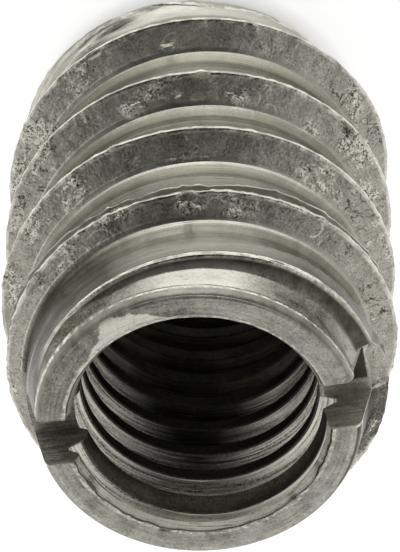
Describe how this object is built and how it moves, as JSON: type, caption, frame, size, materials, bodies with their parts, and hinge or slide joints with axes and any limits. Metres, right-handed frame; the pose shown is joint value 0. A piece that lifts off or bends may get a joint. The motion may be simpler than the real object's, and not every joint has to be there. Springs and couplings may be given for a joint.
{
  "type": "threaded insert",
  "caption": "Screw-in threaded insert for wood: a slotted steel bush with a coarse outside thread, a chamfered entry end and a tapped through hole.",
  "frame": {"origin": "centre of the entry end face, on the insert's axis", "axes": "+Z along the axis from the entry end to the slotted end; the slot runs 9.4 degrees round from +X towards +Y"},
  "size_m": [0.0148, 0.0148, 0.02],
  "materials": {
    "bare_steel": "satin"
  },
  "bodies": {
    "root": {"insert_body": "bare_steel"}
  },
  "joints": []
}
